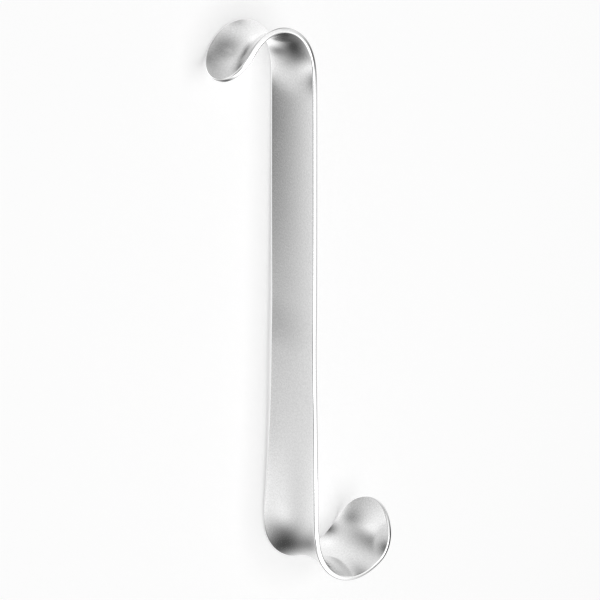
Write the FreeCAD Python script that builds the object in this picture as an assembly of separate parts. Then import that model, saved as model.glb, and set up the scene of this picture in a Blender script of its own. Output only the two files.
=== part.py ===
# Handheld surgical retractor: one strip of steel, bent at each end into a hook that carries a rounded blade.
# The strip lies on its long edge. The handle runs along Y, the small hook opens towards -X at the +Y end,
# the large hook opens towards +X at the -Y end, and the strip's width stands along Z.
# Lengths are in millimetres and angles in degrees. The front is the strip's +X face along the handle.

import FreeCAD, Part

import itertools
import math
import os

V = FreeCAD.Vector
UP = V(0, 0, 1)

SIZES = [
    ("thickness", 1.5, "thickness of the strip"),
    ("rim_radius", 0.45, "rounding of every rim"),
    ("handle_length", 131.1, "length of the handle, up to the middle of each glide into a bend"),
    ("handle_width", 17.1, "width at the middle of the handle"),
    ("handle_camber", 0.25, "depth of the hollow across the back of the handle"),
    ("small_root_width", 16.6, "width at the end of the handle by the small hook"),
    ("small_bend_radius", 11.15, "radius of the small hook"),
    ("small_bend_angle", 148.7, "turn of the small hook"),
    ("small_easing", 16.0, "length over which the handle glides into the small bend"),
    ("small_unbending", 14.8, "length over which the small bend runs out"),
    ("small_flare_length", 1.0, "length from there to the tip"),
    ("small_flare_radius", 50.0, "radius to which the tip turns outward"),
    ("small_blade_width", 16.5, "width of the small blade at its widest"),
    ("small_tip_length", 8.75, "length of the small blade's rounded tip"),
    ("small_saddle_lead", 10.0, "length of handle over which the small hook's saddle begins"),
    ("small_bend_saddle", 2.5, "depth of the saddle across the small bend"),
    ("small_blade_saddle", 2.2, "depth of the saddle across the small blade at its widest"),
    ("small_tip_saddle", 0.8, "depth of the saddle that the small blade's tip runs out to"),
    ("small_rim_share", 0.0, "share of that depth by which the rims stand off the centre line"),
    ("large_root_width", 22.0, "width at the end of the handle by the large hook"),
    ("large_bend_radius", 14.5, "radius of the large hook"),
    ("large_bend_angle", 150.7, "turn of the large hook"),
    ("large_easing", 16.0, "length over which the handle glides into the large bend"),
    ("large_unbending", 6.2, "length over which the large bend runs out"),
    ("large_flare_length", 4.0, "length from there to the tip"),
    ("large_flare_radius", 13.4, "radius to which the tip turns outward"),
    ("large_blade_width", 23.3, "width of the large blade at its widest"),
    ("large_tip_length", 15.25, "length of the large blade's rounded tip"),
    ("large_saddle_lead", 40.0, "length of handle over which the large hook's saddle begins"),
    ("large_bend_saddle", 2.7, "depth of the saddle across the large bend"),
    ("large_blade_saddle", 2.2, "depth of the saddle across the large blade at its widest"),
    ("large_tip_saddle", 0.3, "depth of the saddle that the large blade's tip runs out to"),
    ("large_rim_share", 0.8, "share of that depth by which the rims stand off the centre line"),
]

STEP = 0.25
HANDLE_STATIONS = (0.0, 0.25, 0.5, 0.75)
BEND_STATIONS = 9
TIP_ANGLES = (0, 16, 32, 48, 64, 80)
RIM_ARCS = 3

os.makedirs("parts", exist_ok=True)
doc = FreeCAD.newDocument("retractor")
sheet = doc.addObject("Spreadsheet::Sheet", "sizes")
for row, (alias, value, note) in enumerate(SIZES, 1):
    sheet.set("A%d" % row, note)
    sheet.set("B%d" % row, str(value))
    sheet.setAlias("B%d" % row, alias)
doc.recompute()


def size(alias):
    return float(getattr(sheet, alias))


def eased(knots, s):
    """Value that glides from knot to knot and is level at each of them."""
    for (s0, v0), (s1, v1) in zip(knots, knots[1:]):
        if s <= s1:
            q = max((s - s0) / (s1 - s0), 0.0)
            return v0 + (v1 - v0) * q * q * (3 - 2 * q)
    return knots[-1][1]


class Hook:
    """One half of the strip, measured by s along its centre line from the middle of the handle.

    Its widths are those of the flat skins, which end one rim radius inside the outline."""

    def __init__(self, name, side):
        self.side = side
        self.half = size("handle_length") / 2
        self.thick = size("thickness") / 2
        self.round = size("rim_radius")
        radius = size(name + "_bend_radius")
        arc = radius * math.radians(size(name + "_bend_angle"))
        easing = size(name + "_easing")
        unbending = size(name + "_unbending")
        straightened = self.half + arc + unbending / 2
        self.start = self.half - easing / 2
        self.end = straightened + size(name + "_flare_length") - self.round
        self.bends = [
            (self.start, 0.0),
            (self.start + easing, 1 / radius),
            (straightened - unbending, 1 / radius),
            (straightened, 0.0),
            (self.end + self.round, -1 / size(name + "_flare_radius")),
        ]
        self.waist = size("handle_width") / 2 - self.round
        self.root = size(name + "_root_width") / 2 - self.round
        self.blade = size(name + "_blade_width") / 2 - self.round
        self.tip = size(name + "_tip_length") - self.round
        self.wide = self.end - self.tip
        self.share = size(name + "_rim_share")
        # how the width curves, from its depth over the blade's width or the handle's
        over_blade = side * 8 / size(name + "_blade_width") ** 2
        camber = -8 * size("handle_camber") / size("handle_width") ** 2
        self.saddle = [
            (0.0, camber),
            (self.half - size(name + "_saddle_lead"), camber),
            (self.half + 0.5 * arc, over_blade * size(name + "_bend_saddle")),
            (self.wide, over_blade * size(name + "_blade_saddle")),
            (self.end, over_blade * size(name + "_tip_saddle")),
        ]
        self.line = [(V(0, side * self.start, 0), side * math.pi / 2)]
        for k in range(int((self.end - self.start) / STEP) + 1):
            self.line.append(self.onward(k, STEP))

    def onward(self, k, length):
        """Point and heading of the centre line at a length past its kth step."""
        point, heading = self.line[k]
        turn = eased(self.bends, self.start + k * STEP + length / 2) * length
        halfway = heading + turn / 2
        return point + V(math.cos(halfway), math.sin(halfway), 0) * length, heading + turn

    def centre(self, s):
        """Point of the centre line and the direction in which it runs there."""
        k = max(int((s - self.start) / STEP), 0)
        point, heading = self.onward(k, s - self.start - k * STEP)
        return point, V(math.cos(heading), math.sin(heading), 0)

    def half_width(self, s):
        """Half the width of the skins, from the waist of the handle to the widest place of the blade."""
        if s <= self.half:
            return self.waist + (self.root - self.waist) * (s / self.half) ** 2
        run = self.wide - self.half
        slope = 2 * (self.root - self.waist) / self.half
        q = (s - self.half) / run
        return self.root + (self.blade - self.root) * q * q * (3 - 2 * q) + slope * run * q * (1 - q) ** 2

    def stations(self):
        """Places along the strip: s, the half width, and the outline's outward direction along and across."""
        handle = [self.start * share for share in HANDLE_STATIONS]
        bend = [self.start + (self.wide - self.start) * k / BEND_STATIONS for k in range(BEND_STATIONS)]
        for s in handle + bend:
            slope = (self.half_width(s + 0.1) - self.half_width(abs(s - 0.1))) / 0.2
            lean = math.hypot(1, slope)
            yield s, self.half_width(s), -slope / lean, 1 / lean
        for angle in map(math.radians, TIP_ANGLES):
            along = self.blade * math.sin(angle)
            out = self.tip * math.cos(angle)
            lean = math.hypot(along, out)
            s = self.wide + self.tip * math.sin(angle)
            yield s, self.blade * math.cos(angle), along / lean, out / lean

    def rounding(self, foot, face, outward):
        """Poles round one long corner of the strip, from the skin to the flat of the rim."""
        middle = foot + face * (self.thick - self.round)
        step = math.pi / 4 / RIM_ARCS
        poles = []
        for k in range(2 * RIM_ARCS + 1):
            reach = self.round / math.cos(step) if k % 2 else self.round
            poles.append(middle + (face * math.cos(k * step) + outward * math.sin(k * step)) * reach)
        return poles

    def section(self, station):
        """Poles of the curves round the strip: the front skin, the upper rim, the back skin, the lower rim.

        A share of the saddle's depth lifts the rims off the centre line, and the rest sinks the middle."""
        s, half_width, along, out = station
        centre, ahead = self.centre(s)
        front = V(ahead.y, -ahead.x, 0) * self.side
        slope = eased(self.saddle, s) * half_width
        lift = slope * half_width / 2
        middle = centre - front * (lift * (1 - self.share))

        def rim(sign):
            face = front - UP * (sign * slope)
            across = UP + front * (sign * slope)
            face.normalize()
            across.normalize()
            foot = middle + front * lift + UP * (sign * half_width)
            outward = ahead * along + across * (sign * out)
            before = self.rounding(foot, face, outward)
            after = self.rounding(foot, -face, outward)[::-1]
            return before + [(before[-1] + after[0]) * 0.5] + after

        def skin(start, stop, offset):
            return [start, (middle + front * offset) * 2 - (start + stop) * 0.5, stop]

        high = rim(1)
        low = rim(-1)[::-1]
        return [skin(low[-1], high[0], self.thick), high, skin(high[-1], low[0], -self.thick), low]

    def nose(self, station):
        """Faces that close the very tip, from the lower rim round to the upper rim."""
        ahead = self.centre(station[0])[1]
        along, out = station[2:]
        front_skin, high, back_skin, low = self.section(station)
        low = low[::-1]
        middle = [(p + q) * 0.5 + ahead * ((q.z - p.z) / 2 * out / along) for p, q in zip(low, high)]
        middle[0] = front_skin[1]
        middle[-1] = back_skin[1]
        pieces = zip(arcs(low), arcs(middle), arcs(high))
        return [patch(list(piece), [3, 3], [0, 1], 2).toShape() for piece in pieces]


def arcs(row):
    """A row of poles, cut into its arcs of three poles each."""
    return [row[k:k + 3] for k in range(0, len(row) - 1, 2)]


def patch(rows, repeats, knots, degree):
    """Surface over rows of three poles, each row one plain arc."""
    surface = Part.BSplineSurface()
    surface.buildFromPolesMultsKnots(rows, repeats, [3, 3], knots, [0, 1], False, False, degree, 2)
    return surface


def skinned(rows, places):
    """Surface whose arcs glide along the strip, with the given poles at the given places."""
    lines = []
    for points in zip(*rows):
        line = Part.BSplineCurve()
        line.interpolate(Points=list(points), Parameters=places)
        lines.append(line)
    rows = [list(row) for row in zip(*(line.getPoles() for line in lines))]
    return patch(rows, lines[0].getMultiplicities(), lines[0].getKnots(), lines[0].Degree)


def strip(small, large):
    """The whole bent strip, from the small blade's tip to the large blade's tip."""
    small_stations = list(small.stations())
    large_stations = list(large.stations())
    sections = [small.section(station) for station in small_stations[::-1]]
    sections += [large.section(station) for station in large_stations[1:]]
    places = [0.0]
    for before, after in zip(sections, sections[1:]):
        steps = [p.distanceToPoint(q) for a, b in zip(before, after) for p, q in zip(a, b)]
        places.append(places[-1] + sum(steps) / len(steps))
    # the surfaces are cut where the handle ends and where a blade is widest
    middle = len(small_stations) - 1
    root = len(HANDLE_STATIONS)
    wide = root + BEND_STATIONS
    cuts = [places[k] for k in (0, middle - wide, middle - root, middle + root, middle + wide, -1)]
    faces = []
    for rows in zip(*sections):
        for piece in zip(*(arcs(row) for row in rows)):
            surface = skinned(piece, places)
            faces += [surface.toShape(u, v, 0, 1) for u, v in zip(cuts, cuts[1:])]
    faces += small.nose(small_stations[-1]) + large.nose(large_stations[-1])
    shell = Part.Shell(faces)
    shell.sewShape()
    solid = Part.Solid(shell)
    if solid.Volume < 0:
        solid.reverse()
    return solid


def lower_rim(hook):
    """The lowest points of the strip's lower rim, as modelled with its width upright."""
    for station in hook.stations():
        low = hook.section(station)[3]
        yield low[2 * RIM_ARCS]
        yield low[-1 - 2 * RIM_ARCS]


def resting(balance, edge):
    """Upward direction of the strip as it lies on three points of an edge, with its balance point inside."""
    for a, b, c in itertools.combinations(edge, 3):
        up = (b - a).cross(c - a)
        if abs(up.z) < 0.9 * up.Length or up.Length < 1e-6:
            continue
        if up.z < 0:
            b, c = c, b
            up = -up
        up.normalize()
        if any((p - a).dot(up) < -1e-6 for p in edge):
            continue
        if all((q - p).cross(balance - p).dot(up) >= 0 for p, q in ((a, b), (b, c), (c, a))):
            return up
    raise ValueError("the strip finds no rest on this edge")


small_hook = Hook("small", 1)
large_hook = Hook("large", -1)
retractor = doc.addObject("Part::Feature", "retractor")
retractor.Label = "retractor"
retractor.Shape = strip(small_hook, large_hook)

edge = list(lower_rim(small_hook)) + list(lower_rim(large_hook))
retractor.Placement.Rotation = FreeCAD.Rotation(resting(retractor.Shape.CenterOfMass, edge), UP)
box = retractor.Shape.optimalBoundingBox(False, False)
retractor.Placement.move(V(-box.Center.x, -box.Center.y, -box.ZMin))
doc.recompute()

shape = retractor.Shape
if shape.isNull() or not shape.isValid() or not shape.isClosed():
    raise ValueError("the strip isn't a sound solid")
if {"Invalid", "Error"} & set(retractor.State):
    raise ValueError("the strip's object isn't sound")
print("volume %.1f mm3, centre of mass %s" % (shape.Volume, shape.CenterOfMass))
print("placement %s" % retractor.Placement)
print("box %s" % shape.optimalBoundingBox(False, False))
for hook in (small_hook, large_hook):
    hook_centre = V(-hook.side / hook.bends[1][1], hook.side * hook.half, 0)
    print("hook centre %s" % retractor.Placement.multVec(hook_centre))
shape.exportStep("parts/retractor.step")
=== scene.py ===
import math

import bmesh
import bpy
from mathutils import Euler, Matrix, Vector


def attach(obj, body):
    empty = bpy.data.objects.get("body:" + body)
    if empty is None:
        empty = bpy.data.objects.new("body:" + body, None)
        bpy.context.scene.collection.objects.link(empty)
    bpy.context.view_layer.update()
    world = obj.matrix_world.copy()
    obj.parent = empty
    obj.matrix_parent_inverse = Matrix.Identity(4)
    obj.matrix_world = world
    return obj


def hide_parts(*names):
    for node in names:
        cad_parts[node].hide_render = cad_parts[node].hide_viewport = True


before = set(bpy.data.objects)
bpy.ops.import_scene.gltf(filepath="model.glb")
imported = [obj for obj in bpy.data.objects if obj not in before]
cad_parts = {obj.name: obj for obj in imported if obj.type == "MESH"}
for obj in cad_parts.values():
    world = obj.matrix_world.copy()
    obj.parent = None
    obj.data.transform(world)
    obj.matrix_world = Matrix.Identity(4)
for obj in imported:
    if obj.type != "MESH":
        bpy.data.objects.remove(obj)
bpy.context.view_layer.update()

# the strip, as part.py describes it, in millimetres and degrees
THICKNESS = 1.5
RIM_RADIUS = 0.45
HANDLE_LENGTH = 131.1
HANDLE_WIDTH = 17.1
HANDLE_CAMBER = 0.25
SMALL = dict(
    root_width=16.6, bend_radius=11.15, bend_angle=148.7, easing=16.0, unbending=14.8,
    flare_length=1.0, flare_radius=50.0, blade_width=16.5, tip_length=8.75,
    saddle_lead=10.0, bend_saddle=2.5, blade_saddle=2.2, tip_saddle=0.8, rim_share=0.0,
)
LARGE = dict(
    root_width=22.0, bend_radius=14.5, bend_angle=150.7, easing=16.0, unbending=6.2,
    flare_length=4.0, flare_radius=13.4, blade_width=23.3, tip_length=15.25,
    saddle_lead=40.0, bend_saddle=2.7, blade_saddle=2.2, tip_saddle=0.3, rim_share=0.8,
)
UP = Vector((0, 0, 1))
MM_PER_METRE = 1000

# where the strip lies at rest: its place, and its turn about x, y and z
REST_PLACE = Vector((-2.61362, 2.68569, 10.0409))
REST_TURN = Euler([math.radians(a) for a in (-1.21355, -0.137931, 0.00146078)])

# how finely the mesh follows the strip: steps in millimetres, and counts of parts
CENTRE_STEP = 0.25
SLOPE_STEP = 0.1
BEND_STEP = 0.5
HANDLE_PARTS = 40
TIP_PARTS = 40
SKIN_PARTS = 28
ROUNDING_PARTS = 8
RIM_PARTS = 3
WELD_METRES = 2e-6

# wear of the skins' first points beside a rim
WEAR_BESIDE_RIM = [1.0, 0.7, 0.4, 0.2]

# the steel: how fine its grain and its clouds are, and what each gives from low to high
GRAIN_SCALE = 1900.0
GRAIN_DETAIL = 3.0
CLOUD_SCALE = 110.0
CLOUD_DETAIL = 2.0
CLOUD_TINT = (0.77, 0.8)
GRAIN_TINT = (-0.1, 0.12)
WEAR_TINT = (0.0, 0.04)
CLOUD_ROUGHNESS = (0.08, 0.14)
GRAIN_ROUGHNESS = (0.0, 0.05)
WEAR_POLISH = (0.0, 0.05)
BUMP_STRENGTH = 0.2
BUMP_METRES = 0.00004

# the floor, and how much it glows where a ray looks at it
FLOOR_METRES = 6
FLOOR_WHITE = 0.86
FLOOR_GLOW = 0.25

# the world: its level as background, and as light on what isn't a mirror
BACKGROUND_LEVEL = 1.0
LIGHT_LEVEL = 0.45

# what the steel mirrors: a pale room with soft lighter and darker patches, each with its
# azimuth and elevation in degrees, its sharpness and its strength
ROOM = 0.88
CONTRAST = 1.35
GAIN = 1.17
PATCHES = [
    (-165, -39, 36.6, -1.20),
    (-90, -25, 4.4, -1.20),
    (153, -51, 36.6, -0.90),
    (51, -69, 36.6, 0.64),
    (-190, -51, 15.1, 0.80),
    (141, -33, 28.5, 0.65),
    (136, -25, 5.3, -0.78),
    (-152, -35, 36.6, 0.63),
    (-86, -59, 36.6, -0.79),
    (59, -75, 36.6, -1.20),
    (-76, -63, 15.3, 0.80),
    (-120, 11, 1.3, 0.80),
    (52, 5, 16.3, -0.71),
    (-134, -23, 7.5, -0.58),
    (-20, 8, 10.0, -1.20),
    (-157, 30, 12.0, -1.90),
]

LAMP_PLACE = (0.0, 0.0, 0.9)
LAMP_METRES = 0.8
LAMP_WATTS = 4.0

# the camera, fitted to the rims in the photograph
CAMERA_PLACE = (-0.37401, 0.19207, 0.41661)
CAMERA_TURN = (-19.7163, -42.1263, 1.0963)
CAMERA_SENSOR = 36.0
CAMERA_LENS = 129.3
CAMERA_SHIFT = (0.00995, 0.0026)
CAMERA_NEAR = 0.01


def eased(knots, s):
    """Value that glides from knot to knot and is level at each of them."""
    for (s0, v0), (s1, v1) in zip(knots, knots[1:]):
        if s <= s1:
            q = max((s - s0) / (s1 - s0), 0.0)
            return v0 + (v1 - v0) * q * q * (3 - 2 * q)
    return knots[-1][1]


class Hook:
    """One half of the strip, measured by s along its centre line from the handle's middle."""

    def __init__(self, sizes, side):
        self.side = side
        self.half = HANDLE_LENGTH / 2
        self.thick = THICKNESS / 2
        self.round = RIM_RADIUS
        radius = sizes["bend_radius"]
        arc = radius * math.radians(sizes["bend_angle"])
        straightened = self.half + arc + sizes["unbending"] / 2
        self.start = self.half - sizes["easing"] / 2
        self.end = straightened + sizes["flare_length"] - self.round
        self.bends = [
            (self.start, 0.0),
            (self.start + sizes["easing"], 1 / radius),
            (straightened - sizes["unbending"], 1 / radius),
            (straightened, 0.0),
            (self.end + self.round, -1 / sizes["flare_radius"]),
        ]
        self.waist = HANDLE_WIDTH / 2 - self.round
        self.root = sizes["root_width"] / 2 - self.round
        self.blade = sizes["blade_width"] / 2 - self.round
        self.tip = sizes["tip_length"] - self.round
        self.wide = self.end - self.tip
        # the rims' share of the saddle starts alike on both halves of the handle
        self.share = [(0.0, SMALL["rim_share"]), (self.start / 4, sizes["rim_share"])]
        # across its width, a saddle of a given depth curves by 8 depths over the width squared
        over_blade = side * 8 / sizes["blade_width"] ** 2
        camber = -8 * HANDLE_CAMBER / HANDLE_WIDTH ** 2
        self.saddle = [
            (0.0, camber),
            (self.half - sizes["saddle_lead"], camber),
            (self.half + 0.5 * arc, over_blade * sizes["bend_saddle"]),
            (self.wide, over_blade * sizes["blade_saddle"]),
            (self.end, over_blade * sizes["tip_saddle"]),
        ]
        self.line = [(Vector((0, side * self.start, 0)), side * math.pi / 2)]
        for k in range(int((self.end - self.start) / CENTRE_STEP) + 1):
            self.line.append(self.onward(k, CENTRE_STEP))

    def onward(self, k, length):
        """Point and heading of the centre line at a length past its kth step."""
        point, heading = self.line[k]
        turn = eased(self.bends, self.start + k * CENTRE_STEP + length / 2) * length
        halfway = heading + turn / 2
        onward = Vector((math.cos(halfway), math.sin(halfway), 0)) * length
        return point + onward, heading + turn

    def centre(self, s):
        """Point of the centre line and the direction in which it runs there."""
        k = max(int((s - self.start) / CENTRE_STEP), 0)
        point, heading = self.onward(k, s - self.start - k * CENTRE_STEP)
        return point, Vector((math.cos(heading), math.sin(heading), 0))

    def half_width(self, s):
        """Half the width of the skins, from the handle's waist to the blade's widest place."""
        if s <= self.half:
            return self.waist + (self.root - self.waist) * (s / self.half) ** 2
        run = self.wide - self.half
        slope = 2 * (self.root - self.waist) / self.half
        q = (s - self.half) / run
        widened = self.root + (self.blade - self.root) * q * q * (3 - 2 * q)
        return widened + slope * run * q * (1 - q) ** 2

    def stations(self):
        """Places along the strip: s, half width, and the outline's way out along and across."""
        handle = [self.start * k / HANDLE_PARTS for k in range(HANDLE_PARTS)]
        count = int((self.wide - self.start) / BEND_STEP)
        bend = [self.start + (self.wide - self.start) * k / count for k in range(count)]
        for s in handle + bend:
            growth = self.half_width(s + SLOPE_STEP) - self.half_width(abs(s - SLOPE_STEP))
            slope = growth / (2 * SLOPE_STEP)
            lean = math.hypot(1, slope)
            yield s, self.half_width(s), -slope / lean, 1 / lean
        for k in range(TIP_PARTS + 1):
            angle = math.pi / 2 * k / TIP_PARTS
            along = self.blade * math.sin(angle)
            out = self.tip * math.cos(angle)
            lean = math.hypot(along, out)
            s = self.wide + self.tip * math.sin(angle)
            yield s, self.blade * math.cos(angle), along / lean, out / lean

    def ring(self, station):
        """Points round the strip: the front skin, the upper rim, the back skin, the lower rim."""
        s, half_width, along, out = station
        centre, ahead = self.centre(s)
        front = Vector((ahead.y, -ahead.x, 0)) * self.side
        slope = eased(self.saddle, s) * half_width
        lift = slope * half_width / 2
        middle = centre - front * (lift * (1 - eased(self.share, s)))

        def rim(sign):
            face = (front - UP * (sign * slope)).normalized()
            across = (UP + front * (sign * slope)).normalized()
            foot = middle + front * lift + UP * (sign * half_width)
            outward = ahead * along + across * (sign * out)
            inset = self.thick - self.round
            points = []
            for k in range(ROUNDING_PARTS + 1):
                angle = math.pi / 2 * k / ROUNDING_PARTS
                reach = (face * math.cos(angle) + outward * math.sin(angle)) * self.round
                points.append(foot + face * inset + reach)
            for k in range(1, RIM_PARTS):
                level = inset * (1 - 2 * k / RIM_PARTS)
                points.append(foot + face * level + outward * self.round)
            for k in range(ROUNDING_PARTS + 1):
                angle = math.pi / 2 * (1 - k / ROUNDING_PARTS)
                reach = (outward * math.sin(angle) - face * math.cos(angle)) * self.round
                points.append(foot - face * inset + reach)
            return points

        def skin(start, stop, offset):
            peak = (middle + front * offset) * 2 - (start + stop) * 0.5
            points = []
            for k in range(1, SKIN_PARTS):
                q = (1 - math.cos(math.pi * k / SKIN_PARTS)) / 2
                points.append(start * (1 - q) ** 2 + peak * (2 * q * (1 - q)) + stop * q * q)
            return points

        high = rim(1)
        low = rim(-1)[::-1]
        front_skin = skin(low[-1], high[0], self.thick)
        back_skin = skin(high[-1], low[0], -self.thick)
        return front_skin + high + back_skin + low


def strip():
    """The bent strip as one even mesh, finer than the solid's facets, to mirror smoothly."""
    small = Hook(SMALL, 1)
    large = Hook(LARGE, -1)
    rings = [small.ring(station) for station in list(small.stations())[::-1]]
    rings += [large.ring(station) for station in list(large.stations())[1:]]
    # how much each point of a ring is worn
    unworn = [0.0] * (SKIN_PARTS - 1 - 2 * len(WEAR_BESIDE_RIM))
    skin_wear = WEAR_BESIDE_RIM + unworn + WEAR_BESIDE_RIM[::-1]
    rim_wear = [1.0] * (2 * ROUNDING_PARTS + RIM_PARTS + 1)
    wear = (skin_wear + rim_wear) * 2
    turn = REST_TURN.to_matrix()
    mesh = bmesh.new()
    worn = mesh.verts.layers.float.new("worn")
    made = []
    for ring in rings:
        made.append([mesh.verts.new((turn @ point + REST_PLACE) / MM_PER_METRE) for point in ring])
        for vertex, value in zip(made[-1], wear, strict=True):
            vertex[worn] = value
    for before, after in zip(made, made[1:]):
        for k in range(len(before)):
            mesh.faces.new((before[k - 1], before[k], after[k], after[k - 1]))
    bmesh.ops.remove_doubles(mesh, verts=mesh.verts, dist=WELD_METRES)
    bmesh.ops.recalc_face_normals(mesh, faces=mesh.faces)
    for face in mesh.faces:
        face.smooth = True
    data = bpy.data.meshes.new("retractor_strip")
    mesh.to_mesh(data)
    mesh.free()
    piece = bpy.data.objects.new("retractor_strip", data)
    bpy.context.scene.collection.objects.link(piece)
    return piece


def empty_tree(owner):
    """Node tree of a material or a world, with nothing in it."""
    owner.use_nodes = True
    owner.node_tree.nodes.clear()
    return owner.node_tree


def node(tree, kind, **values):
    """New node with its settings."""
    made = tree.nodes.new(kind)
    for name, value in values.items():
        setattr(made, name, value)
    return made


def maths(tree, operation, first, second, clamp=False):
    """Maths node over two sockets or numbers."""
    made = node(tree, "ShaderNodeMath", operation=operation, use_clamp=clamp)
    for socket, value in zip(made.inputs, (first, second)):
        if isinstance(value, (int, float)):
            socket.default_value = value
        else:
            tree.links.new(value, socket)
    return made.outputs[0]


def noise(tree, place, scale, detail):
    """Noise over a place."""
    made = node(tree, "ShaderNodeTexNoise")
    made.inputs["Scale"].default_value = scale
    made.inputs["Detail"].default_value = detail
    tree.links.new(place, made.inputs["Vector"])
    return made.outputs["Fac"]


def ranged(tree, value, low, high):
    """A value from 0 to 1, brought to run from low to high."""
    made = node(tree, "ShaderNodeMapRange")
    made.inputs["To Min"].default_value = low
    made.inputs["To Max"].default_value = high
    tree.links.new(value, made.inputs["Value"])
    return made.outputs[0]


def steel():
    """Satin steel with a fine grain, soft clouds, and rims that wear made brighter."""
    material = bpy.data.materials.new("satin steel")
    tree = empty_tree(material)
    out = node(tree, "ShaderNodeOutputMaterial")
    shader = node(tree, "ShaderNodeBsdfPrincipled")
    shader.inputs["Metallic"].default_value = 1.0
    tree.links.new(shader.outputs[0], out.inputs["Surface"])
    place = node(tree, "ShaderNodeTexCoord").outputs["Object"]
    grain = noise(tree, place, GRAIN_SCALE, GRAIN_DETAIL)
    cloud = noise(tree, place, CLOUD_SCALE, CLOUD_DETAIL)
    worn = node(tree, "ShaderNodeAttribute", attribute_name="worn").outputs["Fac"]
    tint = maths(tree, "ADD", ranged(tree, cloud, *CLOUD_TINT), ranged(tree, grain, *GRAIN_TINT))
    tint = maths(tree, "ADD", tint, ranged(tree, worn, *WEAR_TINT))
    colour = node(tree, "ShaderNodeCombineColor")
    for channel in colour.inputs:
        tree.links.new(tint, channel)
    tree.links.new(colour.outputs[0], shader.inputs["Base Color"])
    rough = ranged(tree, cloud, *CLOUD_ROUGHNESS)
    rough = maths(tree, "ADD", rough, ranged(tree, grain, *GRAIN_ROUGHNESS))
    rough = maths(tree, "SUBTRACT", rough, ranged(tree, worn, *WEAR_POLISH))
    tree.links.new(rough, shader.inputs["Roughness"])
    bump = node(tree, "ShaderNodeBump")
    bump.inputs["Strength"].default_value = BUMP_STRENGTH
    bump.inputs["Distance"].default_value = BUMP_METRES
    tree.links.new(grain, bump.inputs["Height"])
    tree.links.new(bump.outputs[0], shader.inputs["Normal"])
    return material


def white_floor():
    """Matt white that looks white to the camera and still keeps the shadow."""
    material = bpy.data.materials.new("white floor")
    tree = empty_tree(material)
    out = node(tree, "ShaderNodeOutputMaterial")
    plain = node(tree, "ShaderNodeBsdfDiffuse")
    plain.inputs["Color"].default_value = (FLOOR_WHITE, FLOOR_WHITE, FLOOR_WHITE, 1)
    glow = node(tree, "ShaderNodeEmission")
    path = node(tree, "ShaderNodeLightPath").outputs
    seen = maths(tree, "ADD", path["Is Camera Ray"], path["Is Glossy Ray"], True)
    seen = maths(tree, "ADD", seen, path["Is Transmission Ray"], True)
    tree.links.new(maths(tree, "MULTIPLY", seen, FLOOR_GLOW), glow.inputs["Strength"])
    both = node(tree, "ShaderNodeAddShader")
    tree.links.new(plain.outputs[0], both.inputs[0])
    tree.links.new(glow.outputs[0], both.inputs[1])
    tree.links.new(both.outputs[0], out.inputs["Surface"])
    return material


def room_patches(tree):
    """Brightness of the room in the direction of a mirrored ray."""
    direction = node(tree, "ShaderNodeTexCoord").outputs["Generated"]
    total = ROOM
    for azimuth, elevation, sharpness, strength in PATCHES:
        az, el = math.radians(azimuth), math.radians(elevation)
        towards = (math.cos(el) * math.cos(az), math.cos(el) * math.sin(az), math.sin(el))
        aim = node(tree, "ShaderNodeVectorMath", operation="DOT_PRODUCT")
        aim.inputs[1].default_value = towards
        tree.links.new(direction, aim.inputs[0])
        away = maths(tree, "SUBTRACT", aim.outputs["Value"], 1.0)
        away = maths(tree, "MULTIPLY", away, sharpness)
        patch = maths(tree, "MULTIPLY", maths(tree, "EXPONENT", away, 0.0), strength)
        total = maths(tree, "ADD", patch, total)
    lit = maths(tree, "POWER", maths(tree, "MAXIMUM", total, 0.0), CONTRAST)
    return maths(tree, "MULTIPLY", lit, GAIN)


def room():
    """World that is white behind everything, lights plainly, and shows the steel a room."""
    world = bpy.data.worlds.new("room")
    # no lamp is sampled from it, so that each kind of ray that reaches it finds its own level
    world.cycles.sampling_method = "NONE"
    tree = empty_tree(world)
    out = node(tree, "ShaderNodeOutputWorld")
    back = node(tree, "ShaderNodeBackground")
    back.inputs["Color"].default_value = (1, 1, 1, 1)
    path = node(tree, "ShaderNodeLightPath").outputs
    seen = maths(tree, "ADD", path["Is Camera Ray"], path["Is Transmission Ray"], True)
    level = ranged(tree, seen, LIGHT_LEVEL, BACKGROUND_LEVEL)
    mirrored = path["Is Glossy Ray"]
    shown = maths(tree, "MULTIPLY", room_patches(tree), mirrored)
    others = maths(tree, "MULTIPLY", level, maths(tree, "SUBTRACT", 1.0, mirrored))
    tree.links.new(maths(tree, "ADD", shown, others), back.inputs["Strength"])
    tree.links.new(back.outputs[0], out.inputs["Surface"])
    return world


scene = bpy.context.scene

finish = steel()
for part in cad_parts.values():
    for held in part.material_slots:
        held.material = finish
piece = strip()
piece.data.materials.append(finish)
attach(piece, "root")
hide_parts("retractor")

# the steel doesn't mirror the floor, and looks past it into the room
bpy.ops.mesh.primitive_plane_add(size=FLOOR_METRES)
floor = bpy.context.object
floor.name = "floor"
floor.data.materials.append(white_floor())
floor.visible_glossy = False

scene.world = room()

# one soft lamp, which looks straight down
overhead = bpy.data.lights.new("overhead", "AREA")
overhead.shape = "SQUARE"
overhead.size = LAMP_METRES
overhead.energy = LAMP_WATTS
lamp = bpy.data.objects.new("overhead", overhead)
lamp.location = LAMP_PLACE
scene.collection.objects.link(lamp)

# the camera looks down on the strip, so that its handle stands upright in the picture
eye = bpy.data.cameras.new("eye")
eye.sensor_width = CAMERA_SENSOR
eye.lens = CAMERA_LENS
eye.shift_x, eye.shift_y = CAMERA_SHIFT
eye.clip_start = CAMERA_NEAR
camera = bpy.data.objects.new("camera", eye)
camera.location = CAMERA_PLACE
camera.rotation_euler = [math.radians(a) for a in CAMERA_TURN]
scene.collection.objects.link(camera)
scene.camera = camera

scene.view_settings.view_transform = "Standard"
